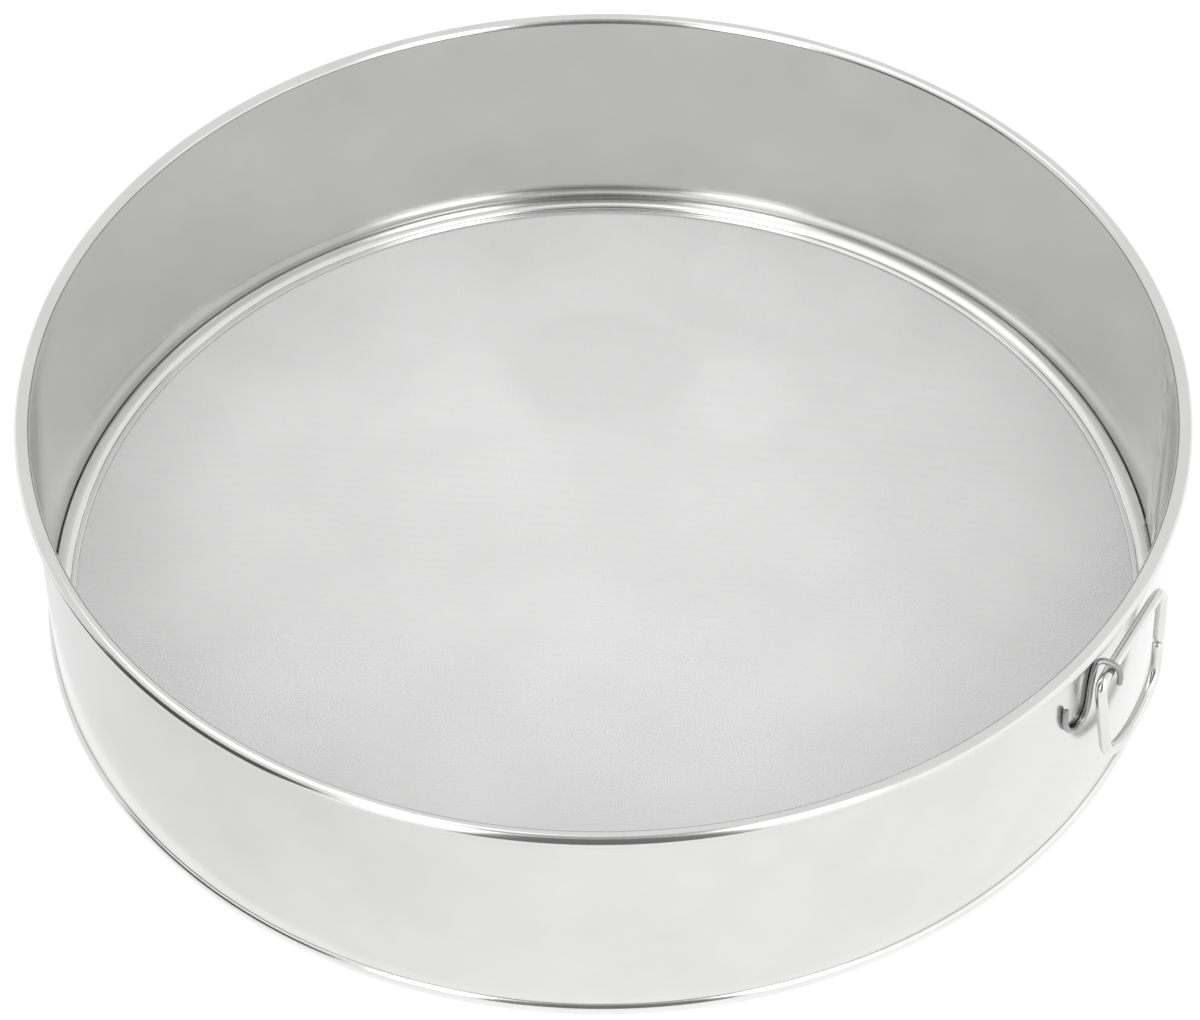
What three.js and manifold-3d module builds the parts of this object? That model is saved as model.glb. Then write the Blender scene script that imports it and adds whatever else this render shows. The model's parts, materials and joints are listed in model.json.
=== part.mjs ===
// A round garden soil sieve in stainless steel: a rolled sheet band with a wired rim, a woven wire
// cloth held between rings at the bottom, and a wire hanging loop on the outside.
// Millimetres, +Z up. The origin is on the sieve's axis, at its underside, and +X points to the
// hanging loop.
import * as THREE from "three";
import { mergeVertices } from "three/addons/utils/BufferGeometryUtils.js";
import Module from "manifold-3d";

const wasm = await Module();
wasm.setup();

// Driving dimensions
const RIM_RADIUS = 150; // outside of the rolled rim
const HEIGHT = 70; // underside to the top of the rim
const SHEET = 0.5; // thickness of the band
const BEAD_RADIUS = 2; // outside of the curl round the rim wire
const FIT = 0.3; // gap between pieces that touch on the real sieve
const FACETS = 72; // sides of every ring, the same for all so that their gaps stay even

const HOOP_HEIGHT = 4.1;
const HOOP_SHEET = 0.6;
const HOOP_BULGE = 1.5;
const SEAT_INNER = 139.8; // inner edge of the hoop's flange and, nearly, of the rings above it
const BACKING_HEIGHT = 1.1;
const CLOTH_THICKNESS = 0.4;
const CLAMP_SHEET = 0.6;
const CLAMP_LIP = 1; // flat lip on the cloth, inside the clamp ring's arch
const CLAMP_ARCH = 1.5; // rise of the arch above the lip

const LOOP_WIRE = 1.5; // radius of the hanging loop's wire
const LOOP_BAR = 38; // between the corners at the ends of the hinge bar
const LOOP_FOOT = 30; // between the two lower corners
const LOOP_REACH = 29; // from the bar to the lower corners
const LOOP_SAG = 5.5; // how far the wire between the lower corners bows down
const LOOP_ALONG = -1; // middle of the hinge bar along the band, from +X towards +Y
const LOOP_LEAN = 4; // degrees by which the loop hangs out from upright
const LOOP_STANDOFF = 2.5; // hinge bar's centre to the band, where it is closest
const LOOP_DROP = 12.6; // from the rim wire's level down to the loop's hinge bar
const CLIP_WIRE = 0.8; // radius of the clip's wire

// Worked out from them
const BAND_INNER = RIM_RADIUS - 2 * BEAD_RADIUS;
const BAND_OUTER = BAND_INNER + SHEET;
const BEAD_R = RIM_RADIUS - BEAD_RADIUS;
const BEAD_Z = HEIGHT - BEAD_RADIUS;
const CORE_RADIUS = BEAD_RADIUS - SHEET - FIT;
const BAND_BOTTOM = HOOP_SHEET + FIT;
const RING_OUTER = BAND_INNER - FIT;
const BACKING_Z = HOOP_SHEET + FIT;
const CLOTH_Z = BACKING_Z + BACKING_HEIGHT + FIT;
const CLAMP_Z = CLOTH_Z + CLOTH_THICKNESS + FIT;
const BAR_Z = BEAD_Z - LOOP_DROP;

const sieve = new THREE.Group();

function steel(colour, roughness) {
  return new THREE.MeshStandardMaterial({ color: colour, roughness, metalness: 1 });
}

function addMesh(name, geometry, material) {
  const mesh = new THREE.Mesh(geometry, material);
  mesh.name = name;
  sieve.add(mesh);
  return mesh;
}

// Points of an arc or an ellipse in the (radius, height) plane, angles in degrees from outward
function arc(r, z, across, up, from, to, steps) {
  const points = [];
  for (let i = 0; i <= steps; i++) {
    const angle = THREE.MathUtils.degToRad(from + ((to - from) * i) / steps);
    points.push([r + across * Math.cos(angle), z + up * Math.sin(angle)]);
  }
  return points;
}

// A section in the (radius, height) plane, listed anticlockwise, turned round the sieve's axis
function turned(section, closed = true) {
  const points = section.map(([r, z]) => new THREE.Vector2(r, z));
  if (closed) points.push(points[0].clone());
  return new THREE.LatheGeometry(points, FACETS).rotateX(Math.PI / 2);
}

// A geometry as a manifold-3d solid, and back
function solidOf(geometry) {
  const bare = geometry.clone();
  bare.deleteAttribute("normal");
  bare.deleteAttribute("uv");
  const merged = mergeVertices(bare, 1e-4);
  return new wasm.Manifold(
    new wasm.Mesh({
      numProp: 3,
      vertProperties: merged.attributes.position.array,
      triVerts: new Uint32Array(merged.index.array),
    }),
  );
}

function geometryOf(solid) {
  const mesh = solid.getMesh();
  const geometry = new THREE.BufferGeometry();
  geometry.setAttribute("position", new THREE.BufferAttribute(mesh.vertProperties, 3));
  geometry.setIndex(new THREE.BufferAttribute(mesh.triVerts, 1));
  return geometry;
}

// A round wire along a path
function wireAlong(path, radius, sides, steps) {
  const section = new THREE.Shape();
  for (let i = 0; i < sides; i++) {
    const angle = (2 * Math.PI * i) / sides;
    const x = radius * Math.cos(angle);
    const y = radius * Math.sin(angle);
    if (i === 0) section.moveTo(x, y);
    else section.lineTo(x, y);
  }
  section.closePath();
  return new THREE.ExtrudeGeometry(section, { steps, extrudePath: path, bevelEnabled: false });
}

// The band: a plain cylinder of sheet whose top edge curls outward, over and almost back to the
// band. Its ends lap by LAP_WIDTH, and the doubled strip stands a sheet's thickness inside.
function makeBand() {
  const CURL_FROM = 180;
  const CURL_TO = -120;
  const CURL_STEPS = 10;
  const LAP_WIDTH = 10;
  const LAP_BURIED = 0.2;
  const LAP_TOP = BEAD_Z - 1;
  const LAP_BOTTOM = CLAMP_Z + CLAMP_SHEET + CLAMP_ARCH + FIT;
  const LAP_FACET = 6; // the side of the ring that the lap lies on, counted from +X
  const inside = BEAD_RADIUS - SHEET;
  const section = [
    [BAND_OUTER, BAND_BOTTOM],
    ...arc(BEAD_R, BEAD_Z, inside, inside, CURL_FROM, CURL_TO, CURL_STEPS),
    ...arc(BEAD_R, BEAD_Z, BEAD_RADIUS, BEAD_RADIUS, CURL_TO, CURL_FROM, CURL_STEPS),
    [BAND_INNER, BAND_BOTTOM],
  ];
  const band = solidOf(turned(section));

  const facetDistance = BAND_INNER * Math.cos(Math.PI / FACETS);
  const lapHeight = LAP_TOP - LAP_BOTTOM;
  const lap = new THREE.BoxGeometry(SHEET + LAP_BURIED, LAP_WIDTH, lapHeight);
  lap.translate(facetDistance + (LAP_BURIED - SHEET) / 2, 0, (LAP_TOP + LAP_BOTTOM) / 2);
  lap.rotateZ(((2 * LAP_FACET + 1) * Math.PI) / FACETS);
  return geometryOf(band.add(solidOf(lap)));
}

// The stiffening wire inside the curl
function makeRimWire() {
  const CORE_SIDES = 10;
  const circle = arc(BEAD_R, BEAD_Z, CORE_RADIUS, CORE_RADIUS, 0, 360, CORE_SIDES).slice(0, -1);
  return turned(circle);
}

// The bottom hoop: convex outside, with a flange that turns in under the rings
function makeHoop() {
  const BULGE_FROM = -80;
  const BULGE_TO = 70;
  const BULGE_STEPS = 8;
  const bore = BAND_OUTER + FIT;
  const half = HOOP_HEIGHT / 2;
  const bulgeCentre = bore - HOOP_BULGE * Math.cos(THREE.MathUtils.degToRad(BULGE_TO));
  return turned([
    [SEAT_INNER, 0],
    [bulgeCentre, 0],
    ...arc(bulgeCentre, half, HOOP_BULGE, half, BULGE_FROM, BULGE_TO, BULGE_STEPS),
    [bore, HOOP_SHEET],
    [SEAT_INNER, HOOP_SHEET],
  ]);
}

// The flat ring under the cloth's edge
function makeBackingRing() {
  const inner = SEAT_INNER + 2 * FIT;
  return turned([
    [inner, BACKING_Z],
    [RING_OUTER, BACKING_Z],
    [RING_OUTER, BACKING_Z + BACKING_HEIGHT],
    [inner, BACKING_Z + BACKING_HEIGHT],
  ]);
}

// The woven cloth, as a plain disc
function makeCloth() {
  const section = [
    [0, CLOTH_Z],
    [RING_OUTER, CLOTH_Z],
    [RING_OUTER, CLOTH_Z + CLOTH_THICKNESS],
    [0, CLOTH_Z + CLOTH_THICKNESS],
  ];
  return turned(section, false);
}

// The clamp ring: pressed sheet with a flat lip on the cloth and a low arch out to the band
function makeClampRing() {
  const ARCH_STEPS = 8;
  const lipEdge = SEAT_INNER + FIT;
  const half = (RING_OUTER - lipEdge - CLAMP_LIP) / 2;
  const middle = RING_OUTER - half;
  const top = CLAMP_Z + CLAMP_SHEET;
  const insideAcross = half - CLAMP_SHEET;
  const insideUp = CLAMP_ARCH;
  return turned([
    [lipEdge, CLAMP_Z],
    ...arc(middle, CLAMP_Z, insideAcross, insideUp, 180, 0, ARCH_STEPS),
    [RING_OUTER, CLAMP_Z],
    ...arc(middle, top, half, CLAMP_ARCH, 0, 180, ARCH_STEPS),
    [lipEdge, top],
  ]);
}

// The hanging loop, from the middle of its hinge bar: +Y runs along the bar. It is a bar and two
// legs that draw in to a bowed foot, in one plane that leans a little outward. The butt joint
// between the wire's ends is on the far leg.
function makeLoop() {
  const BUTT_GAP = 0.4;
  const BUTT_DOWN = 0.6; // place of the butt joint on the far leg, from the bar
  const STEPS = 96;
  const SIDES = 10;
  const far = new THREE.Vector3(0, LOOP_BAR / 2, 0);
  const near = new THREE.Vector3(0, -LOOP_BAR / 2, 0);
  const lowNear = new THREE.Vector3(0, -LOOP_FOOT / 2, -LOOP_REACH);
  const lowFar = new THREE.Vector3(0, LOOP_FOOT / 2, -LOOP_REACH);
  const lowest = new THREE.Vector3(0, 0, -LOOP_REACH - LOOP_SAG);
  const butt = new THREE.Vector3().lerpVectors(far, lowFar, BUTT_DOWN);
  const halfButt = new THREE.Vector3().subVectors(far, lowFar).setLength(BUTT_GAP / 2);
  const start = butt.clone().add(halfButt);
  const end = butt.clone().sub(halfButt);

  // Each corner and how far from it its bend begins
  const corners = [
    [far, 6],
    [near, 4],
    [lowNear, 6],
    [lowest, 9],
    [lowFar, 6],
  ];
  const path = new THREE.CurvePath();
  let from = start;
  corners.forEach(([corner, reach], i) => {
    const before = i > 0 ? corners[i - 1][0] : start;
    const after = i < corners.length - 1 ? corners[i + 1][0] : end;
    const bendStart = before.clone().sub(corner).setLength(reach).add(corner);
    const bendEnd = after.clone().sub(corner).setLength(reach).add(corner);
    path.add(new THREE.LineCurve3(from, bendStart));
    path.add(new THREE.QuadraticBezierCurve3(bendStart, corner, bendEnd));
    from = bendEnd;
  });
  path.add(new THREE.LineCurve3(from, end));
  const lean = THREE.MathUtils.degToRad(-LOOP_LEAN);
  return wireAlong(path, LOOP_WIRE, SIDES, STEPS).rotateY(lean);
}

// The clip: one S of wire, welded to the band along its lower hook. Its stem runs up behind the
// loop's near corner, and its upper hook curls out over the hinge bar and ends in front of it.
// Each point is its place along the band from the loop's near corner, its height above the bar
// and its centre's distance from the band.
function makeClip() {
  const STEPS = 52;
  const SIDES = 8;
  const flat = CLIP_WIRE + FIT;
  const over = 5.9;
  const route = [
    [6.4, -3.4, over],
    [6.4, -0.9, over],
    [6.2, 1.6, over - 0.7],
    [5.6, 3, over - 2.3],
    [4.4, 3.9, flat + 0.9],
    [3, 3.6, flat],
    [1.9, 1.2, flat],
    [1.3, -2.5, flat],
    [1, -6.5, flat],
    [0.6, -10, flat],
    [-1.2, -12.9, flat],
    [-4.4, -13.4, flat],
    [-7.6, -11, flat],
    [-9.3, -7, flat],
    [-9.5, -2.6, flat],
  ];
  const corner = LOOP_ALONG - LOOP_BAR / 2;
  const points = route.map(([along, up, standoff]) => {
    const angle = (along + corner) / BAND_OUTER;
    const radius = BAND_OUTER + standoff;
    return new THREE.Vector3(radius * Math.cos(angle), radius * Math.sin(angle), BAR_Z + up);
  });
  return wireAlong(new THREE.CatmullRomCurve3(points), CLIP_WIRE, SIDES, STEPS);
}

const polished = steel(0xd8d8d6, 0.12);
const drawnWire = steel(0xdadad8, 0.22);
const woven = steel(0xd2d2d0, 0.4);
const pressed = steel(0xdededc, 0.1);

addMesh("wall_band", makeBand(), polished);
addMesh("rim_wire", makeRimWire(), drawnWire);
addMesh("bottom_hoop", makeHoop(), pressed);
addMesh("backing_ring", makeBackingRing(), pressed);
addMesh("wire_cloth", makeCloth(), woven);
addMesh("clamp_ring", makeClampRing(), pressed);
addMesh("loop_clip", makeClip(), drawnWire);

const loop = addMesh("hanging_loop", makeLoop(), drawnWire);
loop.position.set(BAND_OUTER + LOOP_STANDOFF, LOOP_ALONG, BAR_Z);

export default sieve;
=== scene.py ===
import json
import math

import bpy
from mathutils import Matrix, Vector, noise


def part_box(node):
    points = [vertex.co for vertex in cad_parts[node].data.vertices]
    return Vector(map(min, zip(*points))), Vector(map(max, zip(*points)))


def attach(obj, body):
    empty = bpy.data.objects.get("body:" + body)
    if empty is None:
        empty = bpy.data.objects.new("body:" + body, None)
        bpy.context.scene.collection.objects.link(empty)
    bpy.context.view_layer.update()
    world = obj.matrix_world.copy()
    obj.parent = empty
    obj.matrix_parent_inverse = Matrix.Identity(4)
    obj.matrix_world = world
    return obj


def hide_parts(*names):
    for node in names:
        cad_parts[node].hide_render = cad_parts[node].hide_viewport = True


# A round garden soil sieve in stainless steel: a rolled sheet band with a wired rim, a woven wire
# cloth held between rings at its bottom, and a wire hanging loop in a clip on the outside.
# Metres, +Z up. The axis of the sieve is Z and +X points to the hanging loop.

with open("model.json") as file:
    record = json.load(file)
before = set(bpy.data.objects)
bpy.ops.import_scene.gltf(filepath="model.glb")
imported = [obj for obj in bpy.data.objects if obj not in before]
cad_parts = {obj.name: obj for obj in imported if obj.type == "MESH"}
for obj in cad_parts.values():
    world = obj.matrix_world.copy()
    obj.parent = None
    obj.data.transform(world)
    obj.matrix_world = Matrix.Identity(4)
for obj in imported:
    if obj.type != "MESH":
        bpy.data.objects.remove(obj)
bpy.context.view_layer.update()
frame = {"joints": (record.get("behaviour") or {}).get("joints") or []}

MM = 0.001


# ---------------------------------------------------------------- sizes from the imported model
band_low, band_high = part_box("wall_band")
backing_low, backing_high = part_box("backing_ring")
cloth_low, cloth_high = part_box("wire_cloth")
clamp_low, clamp_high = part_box("clamp_ring")
hinge = Vector(frame["joints"][0]["pos_m"])

RIM_RADIUS = band_high.y
HEIGHT = band_high.z
HOOP_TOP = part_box("bottom_hoop")[1].z
RING_OUTER = cloth_high.y
CLOTH_TOP = cloth_high.z


# ---------------------------------------------------------------- sheet and wire of the real sieve
SHEET = 0.5 * MM
BEAD_RADIUS = 2 * MM
FIT = 0.3 * MM  # gap between neighbours that aren't seen to touch
CONTACT = 0.04 * MM  # gap between neighbours that are
HOOP_SHEET = 0.6 * MM
HOOP_BULGE = 1.5 * MM
SEAT_INNER = 139.8 * MM  # inner edge of the hoop's flange
CLAMP_SHEET = 0.6 * MM
CLAMP_LIP = 1 * MM
CLAMP_ARCH = 1.5 * MM
CLOTH_PITCH = 0.6 * MM
LOOP_WIRE = 1.5 * MM
CLIP_WIRE = 0.8 * MM

BAND_INNER = RIM_RADIUS - 2 * BEAD_RADIUS
BAND_OUTER = BAND_INNER + SHEET
BEAD_R = RIM_RADIUS - BEAD_RADIUS
BEAD_Z = HEIGHT - BEAD_RADIUS
LIP_EDGE = SEAT_INNER + FIT


# ---------------------------------------------------------------- camera
# It looks at the rim's centre, then turns a little to the left and down
VIEW_AZIMUTH = math.radians(29)
VIEW_ELEVATION = math.radians(44.5)
CAMERA_DISTANCE = 1.150
TURN_LEFT = math.radians(0.05)
TURN_DOWN = math.radians(1.48)
ROLL = math.radians(-0.4)
LENS = 135
SENSOR = 36
VIEW_END = 50

back = Vector(
    (
        math.sin(VIEW_AZIMUTH) * math.cos(VIEW_ELEVATION),
        -math.cos(VIEW_AZIMUTH) * math.cos(VIEW_ELEVATION),
        math.sin(VIEW_ELEVATION),
    )
)
across = Vector((math.cos(VIEW_AZIMUTH), math.sin(VIEW_AZIMUTH), 0))
above = back.cross(across)
forward = (-back - math.tan(TURN_LEFT) * across - math.tan(TURN_DOWN) * above).normalized()
level = forward.cross(above).normalized()
upright = level.cross(forward)
camera_right = math.cos(ROLL) * level + math.sin(ROLL) * upright
camera_up = camera_right.cross(forward)

camera_data = bpy.data.cameras.new("photo_camera")
camera_data.lens = LENS
camera_data.sensor_width = SENSOR
camera_data.clip_end = VIEW_END
camera = bpy.data.objects.new("photo_camera", camera_data)
bpy.context.scene.collection.objects.link(camera)
camera.matrix_world = Matrix.Translation(Vector((0, 0, BEAD_Z)) + CAMERA_DISTANCE * back) @ (
    Matrix((camera_right, camera_up, -forward)).transposed().to_4x4()
)
bpy.context.scene.camera = camera


# ---------------------------------------------------------------- mesh helpers
SEGMENTS = 480  # sides of a turned ring
SHEET_CREASE = 35  # degrees from which an edge is sharp
WIRE_CREASE = 60
WIRE_END = 0.6  # length of a wire's rounded end, of its radius


def add_piece(name, vertices, faces, material, sharp=SHEET_CREASE):
    mesh = bpy.data.meshes.new(name)
    mesh.from_pydata(vertices, [], faces)
    mesh.validate()
    mesh.shade_smooth()
    mesh.set_sharp_from_angle(angle=math.radians(sharp))
    mesh.materials.append(material)
    piece = bpy.data.objects.new(name, mesh)
    bpy.context.scene.collection.objects.link(piece)
    return piece


def arc(r, z, wide, high, start, end, steps):
    """Points of an ellipse in the (radius, height) plane, angles in degrees from outward."""
    points = []
    for i in range(steps + 1):
        angle = math.radians(start + (end - start) * i / steps)
        points.append((r + wide * math.cos(angle), z + high * math.sin(angle)))
    return points


def line(a, b, steps):
    """Points from a towards b, without b."""
    return [
        (a[0] + (b[0] - a[0]) * i / steps, a[1] + (b[1] - a[1]) * i / steps)
        for i in range(steps)
    ]


def turned(name, section, material, angles=None, shape=None):
    """A closed section, listed anticlockwise, turned round the sieve's axis. shape(angle, r, z)
    gives each point its final radius and height."""
    if angles is None:
        angles = [2 * math.pi * i / SEGMENTS for i in range(SEGMENTS)]
    vertices = []
    for angle in angles:
        for r, z in section:
            if shape:
                r, z = shape(angle, r, z)
            vertices.append((r * math.cos(angle), r * math.sin(angle), z))
    rows = len(section)
    faces = []
    for i in range(len(angles)):
        here = i * rows
        there = (i + 1) % len(angles) * rows
        for j in range(rows):
            k = (j + 1) % rows
            faces.append((here + j, there + j, there + k, here + k))
    return add_piece(name, vertices, faces, material)


def swept(name, points, radius, material, sides):
    """A round wire along points, with rounded ends."""
    END_STEPS = 4
    TIP = 0.02  # share of the radius that a rounded end closes to
    tangents = []
    for i in range(len(points)):
        before = points[max(i - 1, 0)]
        after = points[min(i + 1, len(points) - 1)]
        tangents.append((after - before).normalized())
    end_length = WIRE_END * radius
    swings = [math.pi / 2 * i / END_STEPS for i in range(1, END_STEPS + 1)]

    # Each station is its place, its tangent and its share of the radius
    stations = []
    for swing in reversed(swings):
        place = points[0] - tangents[0] * end_length * math.sin(swing)
        stations.append((place, tangents[0], math.cos(swing)))
    stations += [(point, tangent, 1) for point, tangent in zip(points, tangents)]
    for swing in swings:
        place = points[-1] + tangents[-1] * end_length * math.sin(swing)
        stations.append((place, tangents[-1], math.cos(swing)))

    normal = tangents[0].orthogonal().normalized()
    last = tangents[0]
    vertices = []
    for place, tangent, share in stations:
        normal = last.rotation_difference(tangent) @ normal
        normal = (normal - tangent * normal.dot(tangent)).normalized()
        last = tangent
        side = tangent.cross(normal)
        reach = radius * max(share, TIP)
        for i in range(sides):
            angle = 2 * math.pi * i / sides
            vertices.append(place + reach * (math.cos(angle) * normal + math.sin(angle) * side))
    faces = []
    for i in range(len(stations) - 1):
        for j in range(sides):
            k = (j + 1) % sides
            a = i * sides
            b = a + sides
            faces.append((a + j, a + k, b + k, b + j))
    faces.append(tuple(reversed(range(sides))))
    end = (len(stations) - 1) * sides
    faces.append(tuple(end + j for j in range(sides)))
    return add_piece(name, vertices, faces, material, WIRE_CREASE)


# ---------------------------------------------------------------- materials
class Nodes:
    """A material's node tree with short calls to add nodes."""

    LOW, HIGH = 0.3, 0.7  # the part of a noise's values that ramp and range spread out

    def __init__(self, name):
        self.material = bpy.data.materials.new(name)
        self.material.use_nodes = True
        self.tree = self.material.node_tree
        self.surface = self.tree.nodes["Principled BSDF"]

    def add(self, kind, **values):
        node = self.tree.nodes.new(kind)
        for name, value in values.items():
            setattr(node, name, value)
        return node

    def link(self, source, target):
        if isinstance(source, (int, float)):
            target.default_value = source
        else:
            self.tree.links.new(source, target)

    def constants(self, **values):
        """Constant values of the surface, by the names of its inputs with _ for each space."""
        for name, value in values.items():
            self.surface.inputs[name.replace("_", " ")].default_value = value

    def math(self, operation, a, b=None):
        node = self.add("ShaderNodeMath", operation=operation)
        self.link(a, node.inputs[0])
        if b is not None:
            self.link(b, node.inputs[1])
        return node.outputs[0]

    def place(self, scale=(1, 1, 1), turn=(0, 0, 0)):
        """Object coordinates in metres, scaled and turned."""
        source = self.add("ShaderNodeTexCoord").outputs["Object"]
        mapping = self.add("ShaderNodeMapping")
        mapping.inputs["Scale"].default_value = scale
        mapping.inputs["Rotation"].default_value = turn
        self.link(source, mapping.inputs["Vector"])
        return mapping.outputs["Vector"]

    def noise(self, vector, scale, detail, roughness=0.5):
        node = self.add("ShaderNodeTexNoise")
        node.inputs["Scale"].default_value = scale
        node.inputs["Detail"].default_value = detail
        node.inputs["Roughness"].default_value = roughness
        self.link(vector, node.inputs["Vector"])
        return node.outputs[0]

    def ramp(self, value, dark, light):
        """Colours from dark to light as value goes from LOW to HIGH."""
        node = self.add("ShaderNodeValToRGB")
        first, last = node.color_ramp.elements
        first.position = self.LOW
        first.color = (*dark, 1)
        last.position = self.HIGH
        last.color = (*light, 1)
        self.link(value, node.inputs[0])
        return node.outputs[0]

    def range(self, value, start, end, low=LOW, high=HIGH, smooth=False):
        """Numbers from start to end as value goes from low to high."""
        node = self.add("ShaderNodeMapRange")
        if smooth:
            node.interpolation_type = "SMOOTHSTEP"
        node.inputs["From Min"].default_value = low
        node.inputs["From Max"].default_value = high
        node.inputs["To Min"].default_value = start
        node.inputs["To Max"].default_value = end
        self.link(value, node.inputs["Value"])
        return node.outputs[0]

    def bump(self, height, distance):
        node = self.add("ShaderNodeBump")
        node.inputs["Strength"].default_value = 1
        node.inputs["Distance"].default_value = distance
        self.link(height, node.inputs["Height"])
        return node.outputs[0]

    def spot(self, x, y, radius, amount):
        """A soft round spot on the cloth, amount at its middle and 0 outside."""
        CORE, RIM = 0.6, 1.3  # of the radius, where the spot begins to fade and where it ends
        away = self.add("ShaderNodeVectorMath", operation="DISTANCE")
        self.link(self.place(), away.inputs[0])
        away.inputs[1].default_value = (x, y, CLOTH_TOP)
        return self.range(
            away.outputs["Value"], amount, 0, CORE * radius, RIM * radius, smooth=True
        )


def grey(tone):
    return (tone, tone, tone)


def steel(name, dark, light, smooth, rough, lines, line_depth):
    """Polished steel: cloudy colour and roughness, and fine lines left by rolling or drawing.
    lines counts the grain's cells to a metre along each axis."""
    CLOUDS = 45  # to a metre
    n = Nodes(name)
    clouds = n.noise(n.place(), CLOUDS, detail=4)
    grain = n.noise(n.place(lines), 1, detail=5, roughness=0.6)
    shine = n.math("ADD", n.math("MULTIPLY", clouds, 0.5), n.math("MULTIPLY", grain, 0.5))
    n.constants(Metallic=1)
    n.link(n.ramp(clouds, dark, light), n.surface.inputs["Base Color"])
    n.link(n.range(shine, smooth, rough), n.surface.inputs["Roughness"])
    n.link(n.bump(grain, line_depth), n.surface.inputs["Normal"])
    return n.material


def woven_steel(name):
    """Plain-woven wire: each warp wire passes over one weft wire and under the next."""
    TURN = math.radians(16)  # of the weave, in its plane
    CRIMP = 0.3  # how far the wires rise and dip where they cross, of their height
    HOLE = 0.62  # wire height below which there is a hole
    # The holes are painted a flat darker grey: painted shade of the floor under the cloth, seen
    # through them
    WIRE_DARK, WIRE_LIGHT, HOLE_SHADE_TONE = 0.695, 0.76, 0.60
    DEPTH = 0.06 * MM
    CLOUDS = 22  # to a metre
    # A darker patch of painted shade on the cloth
    PAINTED_SHADE_PATCH = (-37 * MM, 66 * MM, 23 * MM, -0.3)  # x, y, radius and change of tone
    # Lighter round patches of painted light on the cloth
    PAINTED_LIGHT_PLACES = ((-66 * MM, 42 * MM), (3 * MM, 76 * MM), (-20 * MM, 118 * MM))
    PAINTED_LIGHT_RADIUS = 17 * MM
    PAINTED_LIGHT_GAIN = 0.16

    n = Nodes(name)
    split = n.add("ShaderNodeSeparateXYZ")
    n.link(n.place(turn=(0, 0, TURN)), split.inputs[0])
    wave = math.pi / CLOTH_PITCH
    wave_x = n.math("COSINE", n.math("MULTIPLY", split.outputs[0], wave))
    wave_y = n.math("COSINE", n.math("MULTIPLY", split.outputs[1], wave))
    warp = n.math("ABSOLUTE", wave_x)
    weft = n.math("ABSOLUTE", wave_y)
    rise = n.math("MULTIPLY", n.math("MULTIPLY", wave_x, wave_y), CRIMP)
    height = n.math("MAXIMUM", n.math("ADD", warp, rise), n.math("SUBTRACT", weft, rise))
    hole = n.math("LESS_THAN", n.math("MAXIMUM", warp, weft), HOLE)

    clouds = n.noise(n.place(), CLOUDS, detail=2)
    # The wire's random cloudy tone, with the patch of painted shade and the patches of painted
    # light added
    tone = n.math("ADD", clouds, n.spot(*PAINTED_SHADE_PATCH))
    for x, y in PAINTED_LIGHT_PLACES:
        tone = n.math("ADD", tone, n.spot(x, y, PAINTED_LIGHT_RADIUS, PAINTED_LIGHT_GAIN))
    # In the holes the colour is that flat grey of painted shade
    mix = n.add("ShaderNodeMix", data_type="RGBA")
    n.link(hole, mix.inputs["Factor"])
    n.link(n.ramp(tone, grey(WIRE_DARK), grey(WIRE_LIGHT)), mix.inputs["A"])
    mix.inputs["B"].default_value = (*grey(HOLE_SHADE_TONE), 1)

    n.constants(Metallic=0.1, Specular_IOR_Level=0.35)
    n.link(mix.outputs["Result"], n.surface.inputs["Base Color"])
    n.link(n.range(clouds, 0.62, 0.72), n.surface.inputs["Roughness"])
    n.link(n.bump(height, DEPTH), n.surface.inputs["Normal"])
    return n.material


sheet_steel = steel(
    "rolled_sheet",
    dark=(0.655, 0.654, 0.65),
    light=(0.695, 0.694, 0.69),
    smooth=0.12,
    rough=0.22,
    lines=(10, 10, 1600),
    line_depth=0.002 * MM,
)
pressed_steel = steel(
    "pressed_sheet",
    dark=(0.72, 0.72, 0.715),
    light=(0.77, 0.77, 0.765),
    smooth=0.10,
    rough=0.18,
    lines=(300, 300, 1200),
    line_depth=0.002 * MM,
)
wire_steel = steel(
    "drawn_wire",
    dark=(0.68, 0.68, 0.675),
    light=(0.74, 0.74, 0.735),
    smooth=0.16,
    rough=0.26,
    lines=(900, 900, 900),
    line_depth=0.003 * MM,
)
clip_steel = steel(
    "clip_wire",
    dark=grey(0.27),
    light=grey(0.37),
    smooth=0.20,
    rough=0.30,
    lines=(900, 900, 900),
    line_depth=0.003 * MM,
)
cloth_steel = woven_steel("woven_wire")


# ---------------------------------------------------------------- wall band
LAP_ANGLE = math.radians(32.5)
LAP_WIDTH = 10 * MM
LAP_TOP = BEAD_Z - 1 * MM
LAP_BOTTOM = clamp_high.z + FIT
LAP_EDGE = 0.25 * MM  # width over which the lap steps up from the sheet under it
SPOTS = 5
SPOT_RADIUS = 2 * MM
SPOT_DEPTH = 0.1 * MM
SPOT_RIM = 1.3  # where a spot weld's dimple ends, of its radius


def smooth_step(value):
    value = min(max(value, 0), 1)
    return value * value * (3 - 2 * value)


def unevenness(angle, z):
    """How far the thin sheet stands out from a true cylinder."""
    WAVE, WAVES_ROUND, WAVES_UP = 0.12 * MM, 5, 14
    RIPPLE, RIPPLES_ROUND, RIPPLES_UP = 0.03 * MM, 13, 30
    HELD_FROM = 0.75 * HEIGHT  # from here up the bead stiffens the sheet
    HELD_BY_BEAD = 0.75
    FREE_FROM = 10 * MM  # above the clamp ring
    turn = Vector((math.cos(angle), math.sin(angle), 0))
    slow = noise.noise(turn * WAVES_ROUND + Vector((0, 0, z * WAVES_UP)))
    quick = noise.noise(turn * RIPPLES_ROUND + Vector((7, 3, z * RIPPLES_UP)))
    free = 1 - HELD_BY_BEAD * smooth_step((z - HELD_FROM) / (HEIGHT - HELD_FROM))
    free *= smooth_step((z - clamp_high.z) / FREE_FROM)
    return (WAVE * slow + RIPPLE * quick) * free


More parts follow.
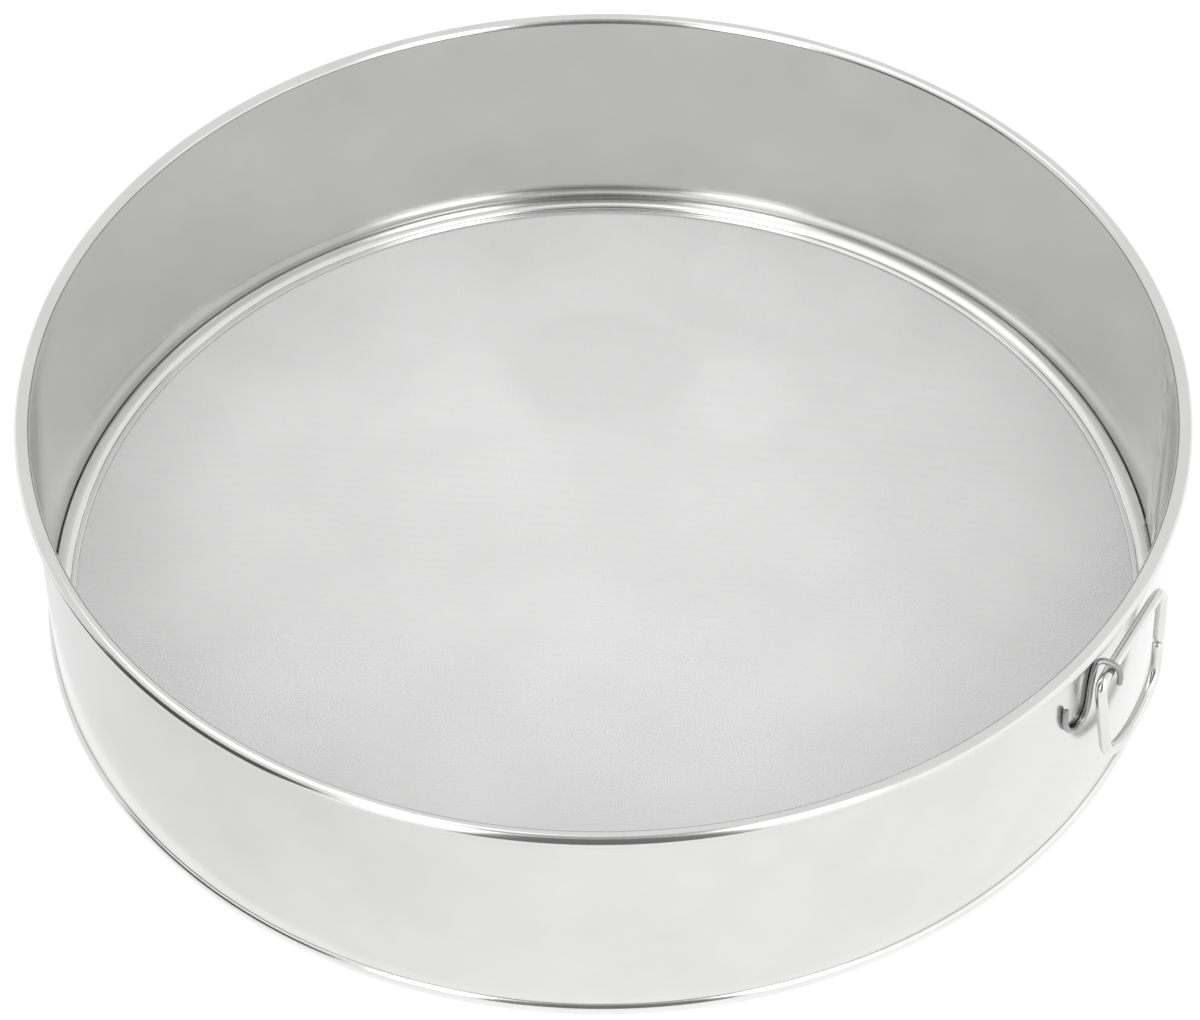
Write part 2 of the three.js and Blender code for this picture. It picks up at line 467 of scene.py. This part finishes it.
def lap_thickness(angle, z):
    """How far the lapped end stands in from the band's inner face, with its spot welds."""
    along = (angle - LAP_ANGLE) * BAND_INNER
    doubled = smooth_step((LAP_WIDTH / 2 - abs(along)) / LAP_EDGE)
    doubled *= smooth_step((LAP_TOP - z) / LAP_EDGE) * smooth_step((z - LAP_BOTTOM) / LAP_EDGE)
    depth = SHEET
    for i in range(SPOTS):
        spot_z = LAP_BOTTOM + (LAP_TOP - LAP_BOTTOM) * (i + 0.5) / SPOTS
        away = math.hypot(along, z - spot_z) / SPOT_RADIUS
        depth -= SPOT_DEPTH * smooth_step(SPOT_RIM - away)
    return depth * doubled


def band_shape(angle, r, z):
    """The uneven wall with its lapped seam. The bead above it keeps its shape."""
    BELOW_BEAD = 0.5 * MM  # under the bead's middle
    NEAR_WALL = 0.1 * MM  # outside the wall's outer face
    FADE = 8 * MM  # height under the bead over which the unevenness fades out
    if z < BEAD_Z - BELOW_BEAD or r < BAND_OUTER + NEAR_WALL:
        r += unevenness(angle, z) * smooth_step((BEAD_Z - z) / FADE)
        if r < BAND_INNER + SHEET / 2:
            r -= lap_thickness(angle, z)
    return r, z


def band_angles():
    """Angles of the band's segments, closer together across the lap."""
    LAP_STEPS = 24
    EDGE_STEPS = 4
    CLOSEST = 0.0002  # radians between neighbours
    angles = set(2 * math.pi * i / SEGMENTS for i in range(SEGMENTS))
    for i in range(-LAP_STEPS, LAP_STEPS + 1):
        angles.add(LAP_ANGLE + i * LAP_EDGE / BAND_INNER)
    for side in (-1, 1):
        for i in range(EDGE_STEPS + 1):
            along = side * (LAP_WIDTH / 2 - LAP_EDGE * i / EDGE_STEPS)
            angles.add(LAP_ANGLE + along / BAND_INNER)
    spaced = []
    for angle in sorted(angles):
        if not spaced or angle - spaced[-1] > CLOSEST:
            spaced.append(angle)
    return spaced


CURL_FROM = 180
CURL_TO = -120
curl_inside = BEAD_RADIUS - SHEET
band_section = (
    line((BAND_OUTER, band_low.z), (BAND_OUTER, BEAD_Z), steps=30)
    + arc(BEAD_R, BEAD_Z, curl_inside, curl_inside, CURL_FROM, CURL_TO, steps=30)
    + arc(BEAD_R, BEAD_Z, BEAD_RADIUS, BEAD_RADIUS, CURL_TO, CURL_FROM, steps=48)[:-1]
    + line((BAND_INNER, BEAD_Z), (BAND_INNER, band_low.z), steps=56)
    + [(BAND_INNER, band_low.z)]
)
wall = turned("rolled_band", band_section, sheet_steel, band_angles(), band_shape)
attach(wall, "sieve")
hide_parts("wall_band")


# ---------------------------------------------------------------- rim wire
core = BEAD_RADIUS - SHEET - FIT
rim_section = arc(BEAD_R, BEAD_Z, core, core, 0, 360, steps=20)[:-1]
rim = turned("rim_core_wire", rim_section, wire_steel)
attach(rim, "sieve")
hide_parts("rim_wire")


# ---------------------------------------------------------------- bottom hoop and rings
FLANGE_CORNER = 0.2 * MM
BACKING_CORNER = 0.15 * MM
CLAMP_CORNER = 0.25 * MM
BULGE_FROM = -80
BULGE_TO = 70


def rounded_corner(corner, radius, start):
    """A quarter circle inside a square corner, from start degrees, anticlockwise."""
    STEPS = 4
    middle = math.radians(start + 45)
    r = corner[0] - radius * math.sqrt(2) * math.cos(middle)
    z = corner[1] - radius * math.sqrt(2) * math.sin(middle)
    return arc(r, z, radius, radius, start, start + 90, STEPS)


hoop_bore = BAND_OUTER + CONTACT
bulge_middle = hoop_bore - HOOP_BULGE * math.cos(math.radians(BULGE_TO))
half_hoop = HOOP_TOP / 2
hoop_section = (
    rounded_corner((SEAT_INNER, 0), FLANGE_CORNER, 180)
    + [(bulge_middle, 0)]
    + arc(bulge_middle, half_hoop, HOOP_BULGE, half_hoop, BULGE_FROM, BULGE_TO, steps=32)
    + [(hoop_bore, HOOP_SHEET)]
    + rounded_corner((SEAT_INNER, HOOP_SHEET), FLANGE_CORNER, 90)
)
hoop = turned("bottom_bead_hoop", hoop_section, pressed_steel)
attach(hoop, "sieve")
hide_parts("bottom_hoop")

backing_inner = SEAT_INNER + 2 * FIT
backing_section = (
    rounded_corner((backing_inner, backing_low.z), BACKING_CORNER, 180)
    + rounded_corner((RING_OUTER, backing_low.z), BACKING_CORNER, 270)
    + rounded_corner((RING_OUTER, backing_high.z), BACKING_CORNER, 0)
    + rounded_corner((backing_inner, backing_high.z), BACKING_CORNER, 90)
)
backing = turned("cloth_backing_ring", backing_section, pressed_steel)
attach(backing, "sieve")
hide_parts("backing_ring")

clamp_outer = BAND_INNER - CONTACT
clamp_bottom = CLOTH_TOP + CONTACT
half_arch = (clamp_outer - LIP_EDGE - CLAMP_LIP) / 2
arch_middle = clamp_outer - half_arch
lip_top = clamp_low.z + CLAMP_SHEET
clamp_section = (
    rounded_corner((LIP_EDGE, clamp_bottom), CLAMP_CORNER, 180)
    + arc(arch_middle, clamp_bottom, half_arch - CLAMP_SHEET, CLAMP_ARCH, 180, 0, steps=32)
    + [(clamp_outer, clamp_bottom)]
    + arc(arch_middle, lip_top, half_arch, CLAMP_ARCH, 0, 180, steps=40)
    + rounded_corner((LIP_EDGE, lip_top), CLAMP_CORNER, 90)
)
clamp = turned("cloth_clamp_ring", clamp_section, pressed_steel)
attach(clamp, "sieve")
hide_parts("clamp_ring")


# ---------------------------------------------------------------- wire cloth
CLOTH_RINGS = 70
CLOTH_SEGMENTS = 240
CLOTH_CREASE = 40
cloth_thickness = CLOTH_TOP - cloth_low.z


def on_cloth(x, y):
    """A point on the top of the stretched cloth, which stands a little above or below its plane."""
    SLACK, SLACK_SCALE = 0.35 * MM, 22
    RIPPLE, RIPPLE_SCALE = 0.06 * MM, 55
    FREE_FROM = 25 * MM  # inward from the clamp ring
    free = smooth_step((LIP_EDGE - math.hypot(x, y)) / FREE_FROM)
    slow = noise.noise(Vector((x * SLACK_SCALE, y * SLACK_SCALE, 4)))
    quick = noise.noise(Vector((x * RIPPLE_SCALE, y * RIPPLE_SCALE, 9)))
    return (x, y, CLOTH_TOP + (SLACK * slow + RIPPLE * quick) * free)


cloth_vertices = [on_cloth(0, 0)]
for ring in range(1, CLOTH_RINGS + 1):
    r = RING_OUTER * ring / CLOTH_RINGS
    for i in range(CLOTH_SEGMENTS):
        angle = 2 * math.pi * i / CLOTH_SEGMENTS
        cloth_vertices.append(on_cloth(r * math.cos(angle), r * math.sin(angle)))
cloth_faces = []
for i in range(CLOTH_SEGMENTS):
    k = (i + 1) % CLOTH_SEGMENTS
    cloth_faces.append((0, 1 + i, 1 + k))
    for ring in range(CLOTH_RINGS - 1):
        a = 1 + ring * CLOTH_SEGMENTS
        b = a + CLOTH_SEGMENTS
        cloth_faces.append((a + i, b + i, b + k, a + k))

# The underside repeats the top, and a strip joins them at the outer edge
count = len(cloth_vertices)
cloth_vertices += [(x, y, z - cloth_thickness) for x, y, z in cloth_vertices]
cloth_faces += [tuple(count + v for v in reversed(face)) for face in cloth_faces]
outer = 1 + (CLOTH_RINGS - 1) * CLOTH_SEGMENTS
for i in range(CLOTH_SEGMENTS):
    k = (i + 1) % CLOTH_SEGMENTS
    cloth_faces.append((outer + i, count + outer + i, count + outer + k, outer + k))
cloth = add_piece("woven_cloth", cloth_vertices, cloth_faces, cloth_steel, CLOTH_CREASE)
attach(cloth, "sieve")
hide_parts("wire_cloth")


# ---------------------------------------------------------------- hanging loop
LOOP_BAR = 38 * MM  # hinge bar, from corner to corner
LOOP_FOOT = 30 * MM  # between the two lower corners
LOOP_REACH = 29 * MM  # from the hinge bar down to the lower corners
LOOP_SAG = 5.5 * MM  # from there down to the lowest point
LOOP_LEAN = math.radians(4)
LOOP_SIDES = 24
BUTT_GAP = 0.4 * MM
BUTT_DOWN = 0.6  # where the wire's two ends meet, down the far leg

far = Vector((0, LOOP_BAR / 2, 0))
near = Vector((0, -LOOP_BAR / 2, 0))
low_near = Vector((0, -LOOP_FOOT / 2, -LOOP_REACH))
low_far = Vector((0, LOOP_FOOT / 2, -LOOP_REACH))
lowest = Vector((0, 0, -LOOP_REACH - LOOP_SAG))
butt = far.lerp(low_far, BUTT_DOWN)
half_butt = (far - low_far).normalized() * (BUTT_GAP / 2 + WIRE_END * LOOP_WIRE)

# Each corner, and how far before and after it the bend begins and ends
corners = [
    (far, 6 * MM),
    (near, 4 * MM),
    (low_near, 6 * MM),
    (lowest, 9 * MM),
    (low_far, 6 * MM),
]


def bent(start, corners, end):
    """A line from start to end that turns each corner in a smooth bend."""
    STRAIGHT_STEPS = 4
    BEND_STEPS = 14
    stops = [start] + [corner for corner, reach in corners] + [end]
    path = [start]
    for i, (corner, reach) in enumerate(corners):
        bend_start = corner + (stops[i] - corner).normalized() * reach
        bend_end = corner + (stops[i + 2] - corner).normalized() * reach
        straight = path[-1]
        for step in range(1, STRAIGHT_STEPS):
            path.append(straight.lerp(bend_start, step / STRAIGHT_STEPS))
        for step in range(BEND_STEPS + 1):
            t = step / BEND_STEPS
            path.append((1 - t) ** 2 * bend_start + 2 * t * (1 - t) * corner + t * t * bend_end)
    return path + [path[-1].lerp(end, 0.5), end]


lean = Matrix.Rotation(-LOOP_LEAN, 3, "Y")
loop_path = [hinge + lean @ p for p in bent(butt + half_butt, corners, butt - half_butt)]
loop = swept("bent_hanging_loop", loop_path, LOOP_WIRE, wire_steel, LOOP_SIDES)
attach(loop, "loop")
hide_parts("hanging_loop")


# ---------------------------------------------------------------- clip
CLIP_SIDES = 16
flat = (CLIP_WIRE + CONTACT) / MM  # off the band where the clip lies on it
over = 5.9  # and where it passes over the hinge bar
# Millimetres along the band from the loop's near corner, above the hinge bar, and off the band
clip_route = [
    (6.4, -3.4, over),
    (6.4, -0.9, over),
    (6.2, 1.6, over - 0.7),
    (5.6, 3, over - 2.3),
    (4.4, 3.9, flat + 0.9),
    (3, 3.6, flat),
    (1.9, 1.2, flat),
    (1.3, -2.5, flat),
    (1, -6.5, flat),
    (0.6, -10, flat),
    (-1.2, -12.9, flat),
    (-4.4, -13.4, flat),
    (-7.6, -11, flat),
    (-9.3, -7, flat),
    (-9.5, -2.6, flat),
]


def on_band(along, up, standoff):
    """The place of a point of the clip's route."""
    angle = (along * MM + hinge.y - LOOP_BAR / 2) / BAND_OUTER
    radius = BAND_OUTER + standoff * MM
    return Vector((radius * math.cos(angle), radius * math.sin(angle), hinge.z + up * MM))


def through(points):
    """A smooth line through points."""
    STEPS = 8
    ends = [2 * points[0] - points[1]] + points + [2 * points[-1] - points[-2]]
    path = []
    for i in range(1, len(ends) - 2):
        a, b, c, d = ends[i - 1 : i + 3]
        for step in range(STEPS):
            t = step / STEPS
            slope = (c - a) * t
            bow = (2 * a - 5 * b + 4 * c - d) * t * t
            twist = (3 * b - a - 3 * c + d) * t * t * t
            path.append(0.5 * (2 * b + slope + bow + twist))
    return path + [points[-1]]


clip_path = through([on_band(*p) for p in clip_route])
clip = swept("hook_clip", clip_path, CLIP_WIRE, clip_steel, CLIP_SIDES)
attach(clip, "sieve")
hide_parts("loop_clip")


# ---------------------------------------------------------------- studio
WHITE = (1, 1, 1, 1)
BLACK = (0, 0, 0, 1)
FLOOR_SIZE = 8
FLOOR_DROP = 0.05 * MM  # below the sieve's underside
FLOOR_TONE = 0.3
FLOOR_ROUGHNESS = 0.9
FLOOR_GLOW = 0.84
TENT_GLOW = 0.98

half = FLOOR_SIZE / 2
floor_mesh = bpy.data.meshes.new("floor")
floor_mesh.from_pydata(
    [(-half, -half, 0), (half, -half, 0), (half, half, 0), (-half, half, 0)], [], [(0, 1, 2, 3)]
)
floor = bpy.data.objects.new("floor", floor_mesh)
bpy.context.scene.collection.objects.link(floor)
floor.location.z = -FLOOR_DROP
floor_nodes = Nodes("pale_floor")
floor_nodes.constants(
    Base_Color=(*grey(FLOOR_TONE), 1),
    Roughness=FLOOR_ROUGHNESS,
    Emission_Color=WHITE,
    Emission_Strength=FLOOR_GLOW,
)
floor_mesh.materials.append(floor_nodes.material)

# An even white tent all round
world = bpy.data.worlds.new("studio")
bpy.context.scene.world = world
world.use_nodes = True
background = world.node_tree.nodes["Background"]
background.inputs["Color"].default_value = WHITE
background.inputs["Strength"].default_value = TENT_GLOW


def studio_direction(azimuth, elevation):
    """A direction from the sieve. Azimuth is in degrees from the camera's side, to its right."""
    turn = VIEW_AZIMUTH + math.radians(azimuth)
    rise = math.radians(elevation)
    return Vector(
        (math.sin(turn) * math.cos(rise), -math.cos(turn) * math.cos(rise), math.sin(rise))
    )


def strip_light(name, azimuth, wide):
    """A tall rectangular light that faces the sieve."""
    ELEVATION = 36
    DISTANCE = 1.5
    TALL = 1.7
    RADIANCE = 2
    light = bpy.data.lights.new(name, "AREA")
    light.shape = "RECTANGLE"
    light.size = wide
    light.size_y = TALL
    light.energy = RADIANCE * math.pi * wide * TALL
    lamp = bpy.data.objects.new(name, light)
    bpy.context.scene.collection.objects.link(lamp)
    direction = studio_direction(azimuth, ELEVATION)
    lamp.location = direction * DISTANCE
    lamp.rotation_euler = direction.to_track_quat("Z", "Y").to_euler()
    lamp.visible_camera = False


def reflected_card(name, vertices, faces, brightness):
    """A card of even brightness that neither the camera nor the sieve's matt parts see."""
    mesh = bpy.data.meshes.new(name)
    mesh.from_pydata(vertices, [], faces)
    n = Nodes(name)
    n.constants(
        Base_Color=BLACK,
        Specular_IOR_Level=0,
        Emission_Color=WHITE,
        Emission_Strength=brightness,
    )
    mesh.materials.append(n.material)
    card = bpy.data.objects.new(name, mesh)
    bpy.context.scene.collection.objects.link(card)
    card.visible_camera = False
    card.visible_diffuse = False
    card.visible_shadow = False
    return n


def tent_card(name, azimuths, elevations, brightness):
    """A card that covers a part of the tent, darker or brighter than the rest. Its part well
    below the rim lies on the floor."""
    REACH = 0.9
    STANDS_TO = -4  # degrees of elevation, under which it lies on the floor
    LIFT = 2 * MM  # above the floor
    STEPS = 12
    vertices = []
    for i in range(STEPS + 1):
        elevation = elevations[0] + (elevations[1] - elevations[0]) * i / STEPS
        for j in range(STEPS + 1):
            azimuth = azimuths[0] + (azimuths[1] - azimuths[0]) * j / STEPS
            direction = studio_direction(azimuth, elevation)
            reach = REACH
            if elevation < STANDS_TO:
                reach = min(REACH, RIM_RADIUS + (BEAD_Z - LIFT) / -direction.z)
            place = Vector((0, 0, BEAD_Z)) + direction * reach
            place.z = max(place.z, LIFT)
            vertices.append(place)
    faces = []
    for i in range(STEPS):
        for j in range(STEPS):
            a = i * (STEPS + 1) + j
            b = a + STEPS + 1
            faces.append((a, a + 1, b + 1, b))
    reflected_card(name, vertices, faces, brightness)


def floor_shadow_card(name, azimuth, near, far):
    """A ring on the floor round the sieve, seen only in reflections, of brightness near that fades
    to far at azimuth: a painted shadow on the floor on that side.
    """
    STEPS = 96
    INNER = RIM_RADIUS + 1 * MM
    OUTER = RIM_RADIUS + 1.4 * HEIGHT
    LIFT = 0.5 * MM
    FADE = 1.1 * RIM_RADIUS
    vertices = []
    for i in range(STEPS):
        direction = studio_direction(360 * i / STEPS, 0)
        for reach in (INNER, OUTER):
            vertices.append(direction * reach + Vector((0, 0, LIFT)))
    faces = []
    for i in range(STEPS):
        k = (i + 1) % STEPS
        faces.append((2 * i, 2 * i + 1, 2 * k + 1, 2 * k))
    n = reflected_card(name, vertices, faces, near)
    toward = n.add("ShaderNodeVectorMath", operation="DOT_PRODUCT")
    n.link(n.place(), toward.inputs[0])
    toward.inputs[1].default_value = studio_direction(azimuth, 0)
    # Painted floor shadow: the glow fades from near to far towards azimuth
    glow = n.range(toward.outputs["Value"], near, far, 0, FADE, smooth=True)
    n.link(glow, n.surface.inputs["Emission Strength"])


strip_light("left_strip", azimuth=-30, wide=0.46)
strip_light("right_strip", azimuth=34, wide=0.56)
tent_card("left_flag", azimuths=(-86, -44), elevations=(-28, 20), brightness=0.1)
tent_card("camera_flag", azimuths=(-20, 20), elevations=(-25, 50), brightness=0.2)
tent_card("overhead_flag", azimuths=(-30, 30), elevations=(52, 80), brightness=0.5)
tent_card("left_ceiling_card", azimuths=(-150, -46), elevations=(50, 86), brightness=1.7)
tent_card("right_side_card", azimuths=(40, 96), elevations=(-14, 26), brightness=1.3)
# A painted shadow on the floor to the left, which only the metal's reflections show
floor_shadow_card("floor_shadow_ring_card", azimuth=-90, near=1.15, far=0.95)

bpy.context.scene.view_settings.view_transform = "Standard"
